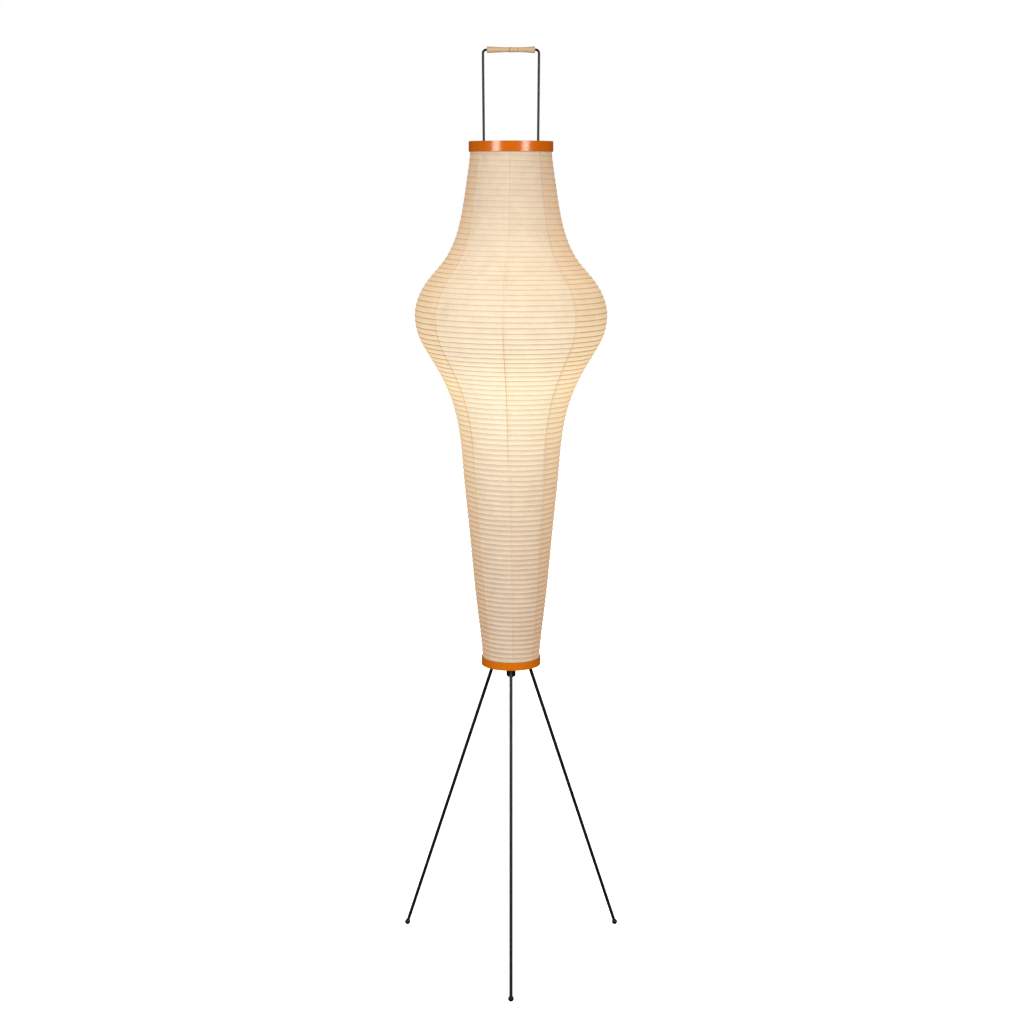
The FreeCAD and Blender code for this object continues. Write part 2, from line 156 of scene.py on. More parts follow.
# %% Trees and finishes
class Node:
    """One node of a finish."""

    def __init__(self, finish, made):
        self.finish = finish
        self.made = made

    def out(self, name=0):
        return Wire(self.finish, self.made.outputs[name])


class Tree:
    """The node tree of a material or of the world."""

    def __init__(self, owner):
        owner.use_nodes = True
        self.tree = owner.node_tree
        self.tree.nodes.clear()

    def node(self, kind, settings=None, values=None):
        """Any node: its settings first, then its sockets' values or links."""
        made = self.tree.nodes.new(kind)
        for name, value in (settings or {}).items():
            setattr(made, name, value)
        for name, value in (values or {}).items():
            socket = made.inputs[name.replace("_", " ") if isinstance(name, str) else name]
            if isinstance(value, Wire):
                self.tree.links.new(value.socket, socket)
            elif socket.type == "RGBA" and len(value) == 3:
                socket.default_value = (*value, 1.0)
            else:
                socket.default_value = value
        return Node(self, made)

    def mix(self, share, first, second, blend="MIX"):
        settings = {"data_type": "RGBA", "blend_type": blend}
        return self.node("ShaderNodeMix", settings, {0: share, 6: first, 7: second}).out(2)


class Finish(Tree):
    """One procedural material, whose skin is a Principled shader."""

    def __init__(self, name, **constants):
        self.material = bpy.data.materials.new(name)
        super().__init__(self.material)
        self.skin = self.node("ShaderNodeBsdfPrincipled", {}, constants)
        self.node("ShaderNodeOutputMaterial", {}, {"Surface": self.skin.out()})

    def feed(self, name, wire):
        """Lead a pattern into one of the skin's sockets."""
        self.tree.links.new(wire.socket, self.skin.made.inputs[name])

    def place(self):
        """Where a point is, in metres, on the piece's own coordinates."""
        return self.node("ShaderNodeTexCoord").out("Object")

    def stretched(self, factors):
        """The place with each axis multiplied, so that a pattern is drawn out along one of them."""
        settings = {"operation": "MULTIPLY"}
        return self.node("ShaderNodeVectorMath", settings, {0: self.place(), 1: factors}).out()

    def axis(self, name):
        return self.node("ShaderNodeSeparateXYZ", {}, {0: self.place()}).out(name)

    def painted(self, name):
        """A number that the mesh carries at each of its points."""
        return self.node("ShaderNodeAttribute", {"attribute_name": name}).out("Fac")

    def grey(self, amount):
        """One number as a colour."""
        return self.node("ShaderNodeCombineColor", {}, {0: amount, 1: amount, 2: amount}).out()

    def tinted(self, share, colour, tint):
        """The colour multiplied by the tint, by this share."""
        return self.mix(share, colour, tint, "MULTIPLY")

    def cloud(self, scale, detail=3.0, where=None, roughness=0.55):
        """Soft noise from 0 to 1, with so many blotches to the metre."""
        values = {"Vector": where or self.place(), "Scale": scale, "Detail": detail}
        values["Roughness"] = roughness
        return self.node("ShaderNodeTexNoise", {}, values).out(0)

    def relief(self, height, depth, strength=1.0):
        """Press a height pattern into the surface; depth is in metres."""
        values = {"Height": height, "Distance": depth, "Strength": strength}
        self.feed("Normal", self.node("ShaderNodeBump", {}, values).out())


print("finish helpers ready")

# %% [markdown]
# ## Washi that glows
# The shade is mulberry paper, lit from inside by the bulb. Real paper scatters the light through its
# fibres; tracing that is slow and noisy, so the paper gives its own light instead. The glow fades with
# the distance from the bulb, so the bulge and the narrow waist below it are brightest. The bamboo under
# the paper holds light back along a thin line, most of all round the bulge, where the paper is pulled on
# to it; that line is also painted brown into the paper's colour, as the rib showing through and as its
# shadow. The lapped seams are two papers thick: paler where the room lights them, darker where the bulb
# does, and near the bulb the seam's shade is painted into the paper's colour too. No two sheets are
# alike, so some strips are browner than others, and the strips to either side of the front two are
# browner still, as painted shade where the paper turns away from the front.

# %% Washi colours
PAPER_GLOW = 1.0
BULB_MIDDLE = (0.0, 0.0, 1.062)
GLOW_REACH = 0.081                  # metres from the bulb at which half of the near glow is left
GLOW_FALL = 1.70
GLOW_NEAR = (1.42, 1.34, 0.91)
GLOW_LOW = (0.206, 0.100, 0.073)    # far off, in the long narrow foot, which throws light back up
GLOW_HIGH = (0.097, 0.0, 0.0)       # far off, above the bulb, where much of it leaves by the top
GLOW_TURN = (1.077, 1.146)          # between these heights the one gives way to the other
BESIDE_RISE = (0.97, 1.04)          # beside the bulb the glow rises between these heights
BESIDE_FALL = (1.09, 1.18)          # and falls again between these
BESIDE_GLOW = 0.16
PAPER_COLOUR = (0.63, 0.54, 0.43)
PAPER_CLOUD = (0.56, 0.46, 0.355)
PAPER_DOUBLE = (0.70, 0.61, 0.50)   # two sheets on each other, along a seam
LAP_WIDTH = 5 * MM
LAP_EDGE = 0.3 * MM
LAP_PALER = 0.35                    # how far a lap goes towards that colour, away from the bulb
LAP_GLOW = (0.94, 0.92, 0.90)       # what a lap lets through, beside one sheet
RIB_LINE = (0.115, 0.045)           # the rib's shadow fades out between these shares of the pitch
RIB_SHADOW = (0.16, 0.03, 0.0)      # what a rib leaves of the glow behind it
RIB_DARKNESS = (0.60, 0.38)         # how much of that shadow falls anywhere, and how much more if crisp
RIB_STAIN_AND_SHADOW = (0.62, 0.28, 0.01)      # the rib's brown showing through the paper, together with a painted shadow of the rib
RIB_STAIN_AND_SHADOW_SHARE = 0.30
RIB_ON_SHEET = (0.72, 0.45)         # a rib's line shows at this share on the palest sheet, fully on the brownest: painted shade on the side strips
CRISP_RISE = (1.00, 1.07)           # round the bulge, from here on up, the line is crisp
CRISP_FALL = (1.19, 1.28)           # and here it softens again
SEAM_LINE = 1.2 * MM
SEAM_SHADOW = (0.76, 0.41, 0.08)
SEAM_SHADE_TINT = (0.62, 0.36, 0.05)     # painted shade of the seam in the paper's colour, shown near the bulb
SEAM_SHADE_TINT_SHARE = 0.15
SEAM_SHOWS = (0.12, 0.26)           # a seam's edge shows where the near glow is stronger than this
SHEET_GLOW = (1.13, 0.98, 0.80)     # what the brownest sheet lets through, beside the palest one; the side strips are browner as painted shade
SHEET_COLOUR = (0.96, 0.92, 0.85)   # and what it throws back, likewise with painted shade on the side strips
FUZZ = (1.0, 0.55, 0.25)            # loose fibres catch a warm light where the paper turns away
print("washi: the near glow is", GLOW_NEAR, "and halves within", GLOW_REACH, "m")

# %% [markdown]
# A few patterns do the work. Three numbers painted on the mesh tell how far a point is from the rib, how
# far past a seam, and how brown its sheet is; that last one also carries painted shade on the side
# strips. Noise of four sizes makes clouds, creases, grain and clots of fibre. A little sheen stands for
# the loose fibres on the paper's skin.

# %% Washi finish
PATCH_FLOOR = 0.80                  # the least that a patch shines, before these four are added
PATCH_CLOUDS = 0.08
PATCH_CREASES = 0.15
PATCH_GRAIN = 0.16
PATCH_FIBRES = 0.03


def between(height, rise, fall):
    """1 from the one slope up to the other, and 0 outside them."""
    return height.step(*rise) * (1 - height.step(*fall))


def bulb_nearness(finish):
    """1 at the bulb, and less and less away from it."""
    settings = {"operation": "DISTANCE"}
    values = {0: finish.place(), 1: BULB_MIDDLE}
    to_bulb = finish.node("ShaderNodeVectorMath", settings, values).out("Value")
    return 1 / (1 + (to_bulb / GLOW_REACH) ** GLOW_FALL)


def washi():
    finish = Finish("washi_paper", Roughness=0.78, Specular_IOR_Level=0.1, Emission_Strength=PAPER_GLOW,
                    Sheen_Weight=0.25, Sheen_Roughness=0.5, Sheen_Tint=FUZZ)
    height = finish.axis("Z")
    nearness = bulb_nearness(finish)
    clouds = finish.cloud(38, 4.0)
    creases = finish.cloud(130, 3.0, finish.stretched((1.0, 1.0, 1.6)), 0.6)
    grain = finish.cloud(420, 3.0)
    fibres = 1 - (finish.cloud(85, 2.0) - 0.5).size().step(0.0, 0.014)
    patchy = PATCH_FLOOR + clouds * PATCH_CLOUDS + creases * PATCH_CREASES
    patchy = patchy + grain * PATCH_GRAIN + fibres * PATCH_FIBRES

    from_rib = finish.painted("from_rib")
    past_seam = finish.painted("past_seam")
    brown_tone_and_side_shade = finish.painted("brown_tone_and_side_shade")
    pale_share, brown_side_shade_share = RIB_ON_SHEET
    on_rib = from_rib.step(*RIB_LINE) * (pale_share + brown_tone_and_side_shade * brown_side_shade_share).at_most(1.0)
    on_lap = past_seam.step(-LAP_EDGE, LAP_EDGE)
    edge_line = 1 - (past_seam - SEAM_LINE / 2).size().step(SEAM_LINE * 0.4, SEAM_LINE * 0.9)
    seam_line = edge_line * nearness.step(*SEAM_SHOWS)

    soft, crisp = RIB_DARKNESS
    rib_shadow = on_rib * (soft + between(height, CRISP_RISE, CRISP_FALL) * crisp)
    beside_bulb = between(height, BESIDE_RISE, BESIDE_FALL)
    far = finish.mix(height.step(*GLOW_TURN), GLOW_LOW, GLOW_HIGH)
    glow = finish.mix(nearness, far, GLOW_NEAR)
    # each sheet's own tone in the glow, with painted shade on the side strips
    glow = finish.tinted(brown_tone_and_side_shade, glow, SHEET_GLOW)
    glow = finish.tinted(rib_shadow, glow, RIB_SHADOW)
    glow = finish.tinted(seam_line, glow, SEAM_SHADOW)
    glow = finish.tinted(on_lap, glow, LAP_GLOW)
    glow = finish.tinted(1.0, glow, finish.grey(patchy * (1 + beside_bulb * BESIDE_GLOW)))
    finish.feed("Emission Color", glow)

    paper = finish.mix((clouds * 1.4 - 0.2).at_least(0.0).at_most(1.0), PAPER_CLOUD, PAPER_COLOUR)
    # each sheet's own tone in the paper's colour, with painted shade on the side strips
    paper = finish.tinted(brown_tone_and_side_shade, paper, SHEET_COLOUR)
    paper = finish.mix(on_lap * (LAP_PALER - nearness).at_least(0.0), paper, PAPER_DOUBLE)
    # the rib's brown showing through, with a painted shadow of the rib
    paper = finish.mix(on_rib * RIB_STAIN_AND_SHADOW_SHARE, paper, RIB_STAIN_AND_SHADOW)
    # painted shade of the seam near the bulb
    paper = finish.mix(seam_line * SEAM_SHADE_TINT_SHARE, paper, SEAM_SHADE_TINT)
    finish.feed("Base Color", finish.tinted(1.0, paper, finish.grey(patchy)))
    finish.relief(creases * 0.8 + grain * 0.2, 0.8 * MM, 0.45)
    return finish.material


WASHI = washi()
print("washi nodes:", len(WASHI.node_tree.nodes))

# %% [markdown]
# ## Paint, plastic and metal
# The rings are lacquered orange over steel, the rods and the wire are painted black, and the parts
# round the bulb are plain electrical hardware. Each gets the small unevenness that its process leaves:
# orange peel in lacquer, faint dust in paint, drawing lines in metal, speckle in fired clay.

# %% Lacquer, paint and plastic
LACQUER_SHINE = (0.93, 0.92, 0.76)  # the lacquer's own amber in its highlights
DARK_EDGE_REACH = (0.7 * MM, 0.1 * MM)   # the band darkens between these distances from its top and bottom edges
DARK_EDGE_COLOUR = (0.10, 0.035, 0.008)  # and takes this dark colour there


def lacquer(name, colour, ring):
    """Glossy orange paint on a band, darker along its top and bottom edges, with a faint orange peel."""
    finish = Finish(name, Roughness=0.2, Specular_IOR_Level=0.74, Specular_Tint=LACQUER_SHINE)
    low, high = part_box(ring)
    middle = (low.z + high.z) / 2
    half = (high.z - low.z) / 2
    near_edge = (finish.axis("Z") - middle).size().step(*(half - reach for reach in DARK_EDGE_REACH))
    mottle = finish.cloud(110, 3.0)
    paint = finish.mix(mottle, colour, tuple(part * 0.84 for part in colour))
    finish.feed("Base Color", finish.mix(near_edge * 0.7, paint, DARK_EDGE_COLOUR))
    finish.feed("Roughness", 0.18 + near_edge * 0.3 + finish.cloud(300, 2.0) * 0.06)
    finish.relief(finish.cloud(260, 2.0), 0.02 * MM, 0.15)
    return finish.material


def black_paint(name, shine):
    """Sprayed black paint: near black, a little dusty, with an uneven sheen."""
    finish = Finish(name, Roughness=shine, Specular_IOR_Level=0.35)
    dust = finish.cloud(90, 3.0)
    finish.feed("Base Color", finish.mix(dust, (0.009, 0.009, 0.0095), (0.020, 0.019, 0.018)))
    finish.feed("Roughness", shine - 0.06 + dust * 0.14)
    finish.relief(finish.cloud(500, 2.0), 0.03 * MM, 0.15)
    return finish.material


def moulded(name, colour, shine, depth):
    """Moulded plastic or rubber, with a fine even texture."""
    finish = Finish(name, Roughness=shine)
    tone = finish.cloud(70, 3.0)
    finish.feed("Base Color", finish.mix(tone, colour, tuple(part * 0.8 for part in colour)))
    finish.feed("Roughness", shine - 0.05 + finish.cloud(500, 2.0) * 0.1)
    finish.relief(finish.cloud(1800, 2.0), depth, 0.5)
    return finish.material


print("lacquer, paint and plastic ready")

# %% [markdown]
# ## Metal, clay and glass
# What is left is bare metal, the lampholder's porcelain, the bulb's opal globe and the boards inside it.
# They hardly show unless the shade is folded down, but a part that is seen only then is still looked at.

# %% Metal, clay and glass
def metal(name, colour, shine, along=(1.0, 1.0, 12.0)):
    """Bare or plated metal with faint marks drawn across one axis."""
    finish = Finish(name, Metallic=1.0, Roughness=shine)
    marks = finish.cloud(160, 4.0, finish.stretched(along), 0.65)
    finish.feed("Base Color", finish.mix(marks, colour, tuple(part * 0.78 for part in colour)))
    finish.feed("Roughness", shine - 0.08 + marks * 0.2)
    finish.relief(marks, 0.06 * MM, 0.3)
    return finish.material


def porcelain():
    """Unglazed fired clay, off white, with a fine dark speckle."""
    finish = Finish("porcelain", Roughness=0.5)
    speckle = finish.cloud(900, 2.0).step(0.66, 0.74)
    clay = finish.mix(finish.cloud(40, 3.0), (0.80, 0.78, 0.72), (0.88, 0.87, 0.83))
    finish.feed("Base Color", finish.mix(speckle * 0.6, clay, (0.45, 0.40, 0.33)))
    finish.relief(finish.cloud(1200, 3.0), 0.05 * MM, 0.5)
    return finish.material


def opal():
    """The bulb's frosted globe: it glows most at its crown and less near the housing."""
    finish = Finish("opal_globe", Roughness=0.35, Emission_Strength=0.45, Base_Color=(0.9, 0.88, 0.82))
    low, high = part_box("bulb_globe")
    crown = finish.axis("Z").step(low.z, high.z)
    frost = finish.cloud(500, 2.0)
    glow = finish.mix(crown, (0.95, 0.66, 0.36), (1.0, 0.84, 0.58))
    finish.feed("Emission Color", finish.mix(frost * 0.15, glow, (0.9, 0.7, 0.45)))
    finish.feed("Roughness", 0.3 + frost * 0.15)
    return finish.material


def circuit_board():
    """White solder mask with rows of pale yellow light chips and faint copper tracks."""
    finish = Finish("circuit_board", Roughness=0.4)
    values = {"Vector": finish.place(), "Scale": 190.0, "Randomness": 0.0}
    cells = finish.node("ShaderNodeTexVoronoi", {"distance": "CHEBYCHEV"}, values).out("Distance")
    chips = cells.step(0.30, 0.26)
    tracks = (finish.cloud(120, 1.0) - 0.5).size().step(0.03, 0.01)
    board = finish.mix(tracks * 0.35, (0.82, 0.82, 0.80), (0.62, 0.66, 0.55))
    finish.feed("Base Color", finish.mix(chips, board, (0.86, 0.70, 0.22)))
    finish.feed("Roughness", 0.45 - chips * 0.2)
    finish.relief(chips, 0.3 * MM, 0.6)
    return finish.material


print("metal, clay and glass ready")

# %% [markdown]
# ## Bamboo
# The grip is a piece of whole bamboo, scraped and lightly varnished: a straw-brown skin with fine lines
# along it, darker at its two nodes, and with painted shade on its upper side. The ribs are split from
# the same plant, thinner and paler, and glow a little as painted light from the bulb inside the shade.
# Grain runs along the piece, so the noise is drawn out along that axis.

# %% Bamboo finishes
GRIP_NODES = (-2.6 * MM, 11.4 * MM)      # along X from the grip's middle
NODE_GROOVE = 0.9 * MM
TOP_SHADE_RISE = (0.5 * MM, 4.0 * MM)       # painted shade on the upper side deepens between these heights over the axis
BROWN_ENDS = (37.8 * MM, 39.3 * MM)      # the sawn ends darken between these distances


def grip_bamboo():
    finish = Finish("bamboo_grip", Roughness=0.42, Coat_Weight=0.3, Coat_Roughness=0.2)
    along = finish.axis("X")
    grain = finish.cloud(800, 3.0, finish.stretched((0.03, 1.0, 1.0)), 0.55)
    patches = finish.cloud(55, 3.0, finish.stretched((0.5, 1.0, 1.0)))
    nodes = None
    for place in GRIP_NODES:
        ring = 1 - (along - place).size().step(NODE_GROOVE * 0.3, NODE_GROOVE * 1.3)
        nodes = ring if nodes is None else nodes + ring * 0.6
    low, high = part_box("handle_grip")
    # painted shade on the grip's upper side
    painted_top_shade = (finish.axis("Z") - (low.z + high.z) / 2).step(*TOP_SHADE_RISE)
    skin = finish.mix(patches, (0.70, 0.44, 0.265), (0.82, 0.54, 0.345))
    skin = finish.mix(grain.step(0.42, 0.72) * 0.2, skin, (0.50, 0.28, 0.14))
    skin = finish.mix(painted_top_shade * 0.45, skin, (0.36, 0.22, 0.13))
    ends = along.size().step(*BROWN_ENDS)
    skin = finish.mix(ends * 0.5, skin, (0.33, 0.17, 0.08))
    finish.feed("Base Color", finish.mix((nodes * 0.75).at_most(1.0), skin, (0.26, 0.13, 0.06)))
    finish.feed("Roughness", 0.36 + grain * 0.15 + nodes * 0.1)
    finish.relief(grain, 0.012 * MM, 0.2)
    return finish.material


def rib_bamboo():
    # the rib gives off a little light in its own colour: painted light, for the bulb's light on it inside
    # the shade
    finish = Finish("bamboo_rib", Roughness=0.55, Emission_Strength=0.35)
    grain = finish.cloud(300, 3.0, finish.stretched((1.0, 1.0, 6.0)))
    cane = finish.mix(grain, (0.60, 0.45, 0.25), (0.78, 0.64, 0.42))
    finish.feed("Base Color", cane)
    finish.feed("Emission Color", cane)
    finish.relief(grain, 0.1 * MM, 0.5)
    return finish.material


print("bamboo ready; the grip's nodes are at", GRIP_NODES)

# %% [markdown]
# ## The ready-made parts get their finish
# A packed part whose shape is already right stays as it is. It only needs a better material in its
# slot, so a short table says which finish goes on which part.

# %% Dress the packed parts
BLACK = black_paint("black_steel", 0.38)
GLOSS_BLACK = black_paint("black_rubber", 0.24)
PLASTIC = moulded("black_plastic", (0.018, 0.018, 0.019), 0.42, 0.06 * MM)
ZINC = metal("zinc_steel", (0.62, 0.62, 0.60), 0.34)
BRASS = metal("brass", (0.78, 0.55, 0.24), 0.26)
BOARD = circuit_board()
# One lacquer in two painted copies: the top ring's darker as painted shade, the bottom ring's brighter as
# painted light.
ORANGE_TOP_SHADED = (0.82, 0.150, 0.001)
ORANGE_BOTTOM_LIT = (0.98, 0.228, 0.005)    # the same lacquer, painted brighter and yellower on the lower ring as painted light
DRESS = {
    "top_ring": lacquer("orange_lacquer_top", ORANGE_TOP_SHADED, "top_ring"),
    "bottom_ring": lacquer("orange_lacquer_bottom", ORANGE_BOTTOM_LIT, "bottom_ring"),
    "spider_plate": BLACK,
    "handle_frame": BLACK,
    "ring_eye_left": BLACK,
    "ring_eye_right": BLACK,
    "frame_socket_left": BLACK,
    "frame_socket_right": BLACK,
    "stem_tube": ZINC,
    "stem_nut_lower": ZINC,
    "stem_nut_upper": ZINC,
    "cord_gland": PLASTIC,
    "holder_cap": PLASTIC,
    "holder_sleeve": PLASTIC,
    "holder_insulator": porcelain(),
    "screw_shell": BRASS,
    "centre_contact": BRASS,
    "bulb_tip": metal("solder", (0.66, 0.66, 0.66), 0.3, (1.0, 1.0, 1.0)),
    "bulb_insulator": PLASTIC,
    "bulb_cap": metal("bulb_cap_metal", (0.72, 0.72, 0.70), 0.22),
    "bulb_housing": moulded("white_plastic", (0.80, 0.80, 0.77), 0.35, 0.05 * MM),
    "bulb_globe": opal(),
    "led_board": BOARD,
    "driver_board": BOARD,
}
for node in frame["nodes"]:
    if node.startswith("leg_"):
        DRESS[node] = BLACK
    elif node.startswith("foot_"):
        DRESS[node] = GLOSS_BLACK
for node, material in DRESS.items():
    frame["nodes"][node].material_slots[0].material = material
print("dressed", len(DRESS), "parts")

# %% [markdown]
# ## The line the ribs follow
# The packed model stands the paper on level hoops. They lie exactly on the lantern's outline, so their
# heights and radii are read back here, and a smooth curve through them gives the outline anywhere.
# A position on it is counted in turns of the rib: 0 is the first hoop, 1 the next.

# %% Read the outline from the hoops
def hoop_places():
    """(radius, height) of each hoop's outer face, from the bottom up."""
    widest = {}
    for vertex in frame["nodes"]["rib_hoops"].data.vertices:
        height = round(vertex.co.z, 6)
        widest[height] = max(widest.get(height, 0.0), vertex.co.xy.length)
    heights = sorted(widest)
    return [(widest[low], (low + high) / 2) for low, high in zip(heights[::2], heights[1::2])]


def rim_place(height):
    """(radius, height) of the paper's outer rim at this height."""
    rim = [v.co for v in frame["nodes"]["paper_gore_1"].data.vertices if abs(v.co.z - height) < 0.1 * MM]
    return max(point.xy.length for point in rim), height


PAPER_LOW, PAPER_HIGH = (corner.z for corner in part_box("paper_gore_1"))
HOOPS = hoop_places()
LINE = [rim_place(PAPER_LOW), *HOOPS, rim_place(PAPER_HIGH)]
LAST_TURN = len(HOOPS) - 1


def gap(first, second):
    return math.dist(LINE[first], LINE[second])


TURNS = [-gap(0, 1) / gap(1, 2), *range(len(HOOPS)), LAST_TURN + gap(-1, -2) / gap(-2, -3)]
print("hoops:", len(HOOPS), "paper from", PAPER_LOW, "to", PAPER_HIGH, "turns", TURNS[0], TURNS[-1])


def slope(index):
    """How radius and height change per turn at one point of the line."""
    before, after = max(index - 1, 0), min(index + 1, len(LINE) - 1)
    span = TURNS[after] - TURNS[before]
    return [(LINE[after][part] - LINE[before][part]) / span for part in (0, 1)]


SLOPES = [slope(index) for index in range(len(LINE))]


def outline(turn):
    """Radius, height and the outward direction (radius part, height part) at this turn."""
    turn = min(max(turn, TURNS[0]), TURNS[-1])
    index = min(max(int(math.floor(turn)) + 1, 0), len(LINE) - 2)
    span = TURNS[index + 1] - TURNS[index]
    s = (turn - TURNS[index]) / span
    point, rate = [], []
    for part in (0, 1):
        here, there = LINE[index][part], LINE[index + 1][part]
        leave, arrive = SLOPES[index][part] * span, SLOPES[index + 1][part] * span
        squared = 3 * (there - here) - 2 * leave - arrive
        cubed = 2 * (here - there) + leave + arrive
        point.append(here + s * leave + s * s * squared + s ** 3 * cubed)
        rate.append(leave + 2 * s * squared + 3 * s * s * cubed)
    length = math.hypot(*rate)
    return point[0], point[1], rate[1] / length, -rate[0] / length


print("radius halfway up, in metres:", round(outline(LAST_TURN / 2)[0], 4))

# %% [markdown]
# ## Paper gores on a spiral rib
# The shade is eight long strips of washi, glued over one bamboo strip that is wound round and round
# the mould and climbs a pitch each turn. The paper stands proud on the rib and sags a little between:
# slack low down, where each pleat is deep, and tight from the bulge up. Handmade paper also dents as it
# dries, so a gentle noise moves it in and out and drags its ridges up and down.
# These numbers say how much of each; the small functions below turn them into places.

# %% Numbers for the gores
FRONT = -90.0
FIRST_SEAM = -95.2
GORES = 8
ROWS_PER_TURN = 8
RIM_ROWS = 5
LOW_LIMIT = -1.2                    # the lowest ridge starts about here, counted in turns
HIGH_LIMIT = LAST_TURN + 0.9        # and the highest one ends about here
SLACK_PLEAT = (0.50 * MM, -0.72 * MM)    # the ridge on the rib and the hollow between, low down
TIGHT_PLEAT = (0.36 * MM, -0.22 * MM)    # and from the bulge up, where the paper is pulled tight
SLACK_TOP = 0.90                    # up to this height the paper is slack
TIGHT_FOOT = 1.04                   # and from this height on it is tight
CRUMPLE_DEPTH = 0.20 * MM
CRUMPLE_WAVER = 0.75 * MM           # how far a crumple drags the ridge up or down
CRUMPLE_SCALES = (45.0, 110.0)      # broad and small crumples, in waves to the metre
LAP_LIFT = 0.06 * MM
PAPER_THICK = 0.25 * MM
SEAM_LEAN_LOW = 3.5                 # the seams drift this many degrees on their way down
ACROSS = 22
COLUMNS = [(index / ACROSS, 0.0, 0.0) for index in range(ACROSS)]
COLUMNS += [(1.0, -1.5 * MM, 0.0), (1.0, 0.0, 1.0), (1.0, LAP_WIDTH / 2, 1.0), (1.0, LAP_WIDTH, 1.0)]
SHEET_BROWN_AND_SIDE_SHADE = (0.15, 0.8, 0.4, 0.7, 0.3, 0.5, 0.7, 0.0)    # how brown each sheet is, from 0 to 1; the pair beside the front two is browner, as painted shade

print("gores:", GORES, "with", len(COLUMNS), "columns each")

# %% Where a row lies
def climb(azimuth):
    """How far the rib has sunk, in turns, since it passed the lamp's front."""
    return -(azimuth - FRONT) / 360


def fade(turn):
    """1 where the paper is free, and 0 where the rings hold it."""
    return min(max(turn + 1, 0.0), max(LAST_TURN + 1 - turn, 0.0), 1.0)


def seam_azimuth(number, turn):
    """Which way a seam lies, in degrees, at this turn of the rib."""
    share = 1 - min(max(turn / LAST_TURN, 0.0), 1.0)
    return FIRST_SEAM + 360 * number / GORES + SEAM_LEAN_LOW * share ** 2


def gore_turn(row, first, last, shift):
    """A row's turn on the outline, level at both rims and along the rib between, and its rib distance."""
    ribbed = (last - first) * ROWS_PER_TURN
    low, high = first + shift, last + shift
    if row < RIM_ROWS:
        share = row / RIM_ROWS
        return TURNS[0] + (low - TURNS[0]) * share, min((1 - share) * (low - TURNS[0]), 0.5)
    if row <= RIM_ROWS + ribbed:
        turns = (row - RIM_ROWS) / ROWS_PER_TURN
        return low + turns, abs(turns - round(turns))
    share = (row - RIM_ROWS - ribbed) / RIM_ROWS
    return high + (TURNS[-1] - high) * share, min(share * (TURNS[-1] - high), 0.5)


def tightness(height):
    """0 in the slack lower shade and 1 from the bulge up."""
    return min(max((height - SLACK_TOP) / (TIGHT_FOOT - SLACK_TOP), 0.0), 1.0)


def pleat(height, distance):
    """How far the paper stands out at this distance from the rib, in turns."""
    tight = tightness(height)
    ridge, valley = (low + (high - low) * tight for low, high in zip(SLACK_PLEAT, TIGHT_PLEAT))
    return ridge - (ridge - valley) * math.sin(math.pi * distance)


def crumple(x, y, z):
    """Uneven dents of handmade paper, from -1 to 1: the same at a point for both sheets of a seam."""
    broad, small = (noise.noise(Vector((x, y, z)) * scale) for scale in CRUMPLE_SCALES)
    return 0.6 * broad + 0.4 * small


print("at 1.1 m the paper stands", pleat(1.1, 0.0), "m proud on the rib")

# %% [markdown]
# Each strip starts as a flat bmesh grid, just as the sheet starts flat on the bench. Its columns are
# then wrapped round the lamp and its rows laid along the climbing rib, so the ridges meet at the seams.
# One long edge laps a few millimetres over the next strip. Each point also keeps three numbers that the
# finish reads: its distance from the rib, its distance past the seam and the brownness of its sheet,
# which on the side strips is painted shade as well.

# %% Lay one gore
def paper_gore(number, finish):
    """One strip of paper, from rim to rim."""
    start = FIRST_SEAM + 360 * number / GORES
    end = FIRST_SEAM + 360 * (number + 1) / GORES + SEAM_LEAN_LOW
    first = math.ceil(LOW_LIMIT - climb(end))
    last = math.floor(HIGH_LIMIT - climb(start))
    rows = (last - first) * ROWS_PER_TURN + 2 * RIM_ROWS
    bm = bmesh.new()
    bmesh.ops.create_grid(bm, x_segments=len(COLUMNS) - 1, y_segments=rows, size=0.5)
    from_rib = bm.verts.layers.float.new("from_rib")
    past_seam = bm.verts.layers.float.new("past_seam")
    brown_tone_and_side_shade = bm.verts.layers.float.new("brown_tone_and_side_shade")
    for vertex in bm.verts:
        column = round((vertex.co.x + 0.5) * (len(COLUMNS) - 1))
        row = round((vertex.co.y + 0.5) * rows)
        share, reach, lift = COLUMNS[column]
        guess = gore_turn(row, first, last, climb(start + (end - start) * share))[0]
        left, right = seam_azimuth(number, guess), seam_azimuth(number + 1, guess)
        radius = outline(guess)[0]
        azimuth = left + (right - left) * share + math.degrees(reach / radius)
        turn, distance = gore_turn(row, first, last, climb(azimuth))
        radius, height, out_radius, out_height = outline(turn)
        angle = math.radians(azimuth)
        dent = crumple(radius * math.cos(angle), radius * math.sin(angle), height)
        dent *= fade(turn) * (1 - 0.5 * tightness(height))
        rise = (pleat(height, distance) + lift * LAP_LIFT) * fade(turn) + dent * CRUMPLE_DEPTH
        radius += rise * out_radius
        height += rise * out_height + dent * CRUMPLE_WAVER
        vertex.co = (radius * math.cos(angle), radius * math.sin(angle), height)
        vertex[from_rib] = distance
        vertex[past_seam] = math.radians(azimuth - right) * radius
        vertex[brown_tone_and_side_shade] = SHEET_BROWN_AND_SIDE_SHADE[number]
    mesh = bpy.data.meshes.new("paper_strip_" + str(number + 1))
    for face in bm.faces:
        face.smooth = True
    bm.to_mesh(mesh)
    bm.free()
    mesh.materials.append(finish)
    piece = bpy.data.objects.new(mesh.name, mesh)
    bpy.context.scene.collection.objects.link(piece)
    return piece


print("each gore covers", 360 / GORES, "degrees and laps", LAP_WIDTH, "m over the next")

